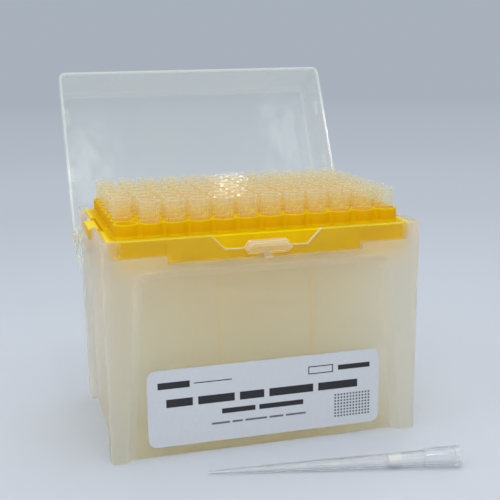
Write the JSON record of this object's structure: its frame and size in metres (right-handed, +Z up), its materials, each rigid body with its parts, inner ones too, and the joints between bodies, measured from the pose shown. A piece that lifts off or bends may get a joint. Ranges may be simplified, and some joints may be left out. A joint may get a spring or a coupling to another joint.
{
  "type": "box of pipette tips",
  "caption": "Hinged-lid rack box holding rows of filtered pipette tips in a well grid, one tip taken out and lying in front.",
  "frame": {"origin": "middle of the base's underside, on the bench", "axes": "+Z up, +X to the right along the front, +Y to the back where the lid is hinged"},
  "size_m": [0.1262, 0.1808, 0.1393],
  "materials": {
    "base_plastic": "translucent moulded polypropylene",
    "rack_plastic": "satin moulded",
    "lid_plastic": "clear moulded polypropylene",
    "tip_plastic": "clear moulded polypropylene",
    "filter_plug": "sintered",
    "label_film": "printed film"
  },
  "bodies": {
    "box": {"base": "base_plastic", "rack": "rack_plastic", "label": "label_film", "tips_row_a": "tip_plastic", "tips_row_b": "tip_plastic", "tips_row_c": "tip_plastic", "tips_row_d": "tip_plastic", "tips_row_e": "tip_plastic", "tips_row_f": "tip_plastic", "tips_row_g": "tip_plastic", "tips_row_h": "tip_plastic", "filters_row_a": "filter_plug", "filters_row_b": "filter_plug", "filters_row_c": "filter_plug", "filters_row_d": "filter_plug", "filters_row_e": "filter_plug", "filters_row_f": "filter_plug", "filters_row_g": "filter_plug", "filters_row_h": "filter_plug", "loose_tip": "tip_plastic", "loose_tip_filter": "filter_plug"},
    "lid": {"lid": "lid_plastic"}
  },
  "joints": [
    {"name": "lid_hinge", "type": "hinge", "parent": "box", "child": "lid", "pos_m": [0, 0.03645, 0.0711], "axis": [1, 0, 0], "range_deg": [0, 116.6]}
  ]
}
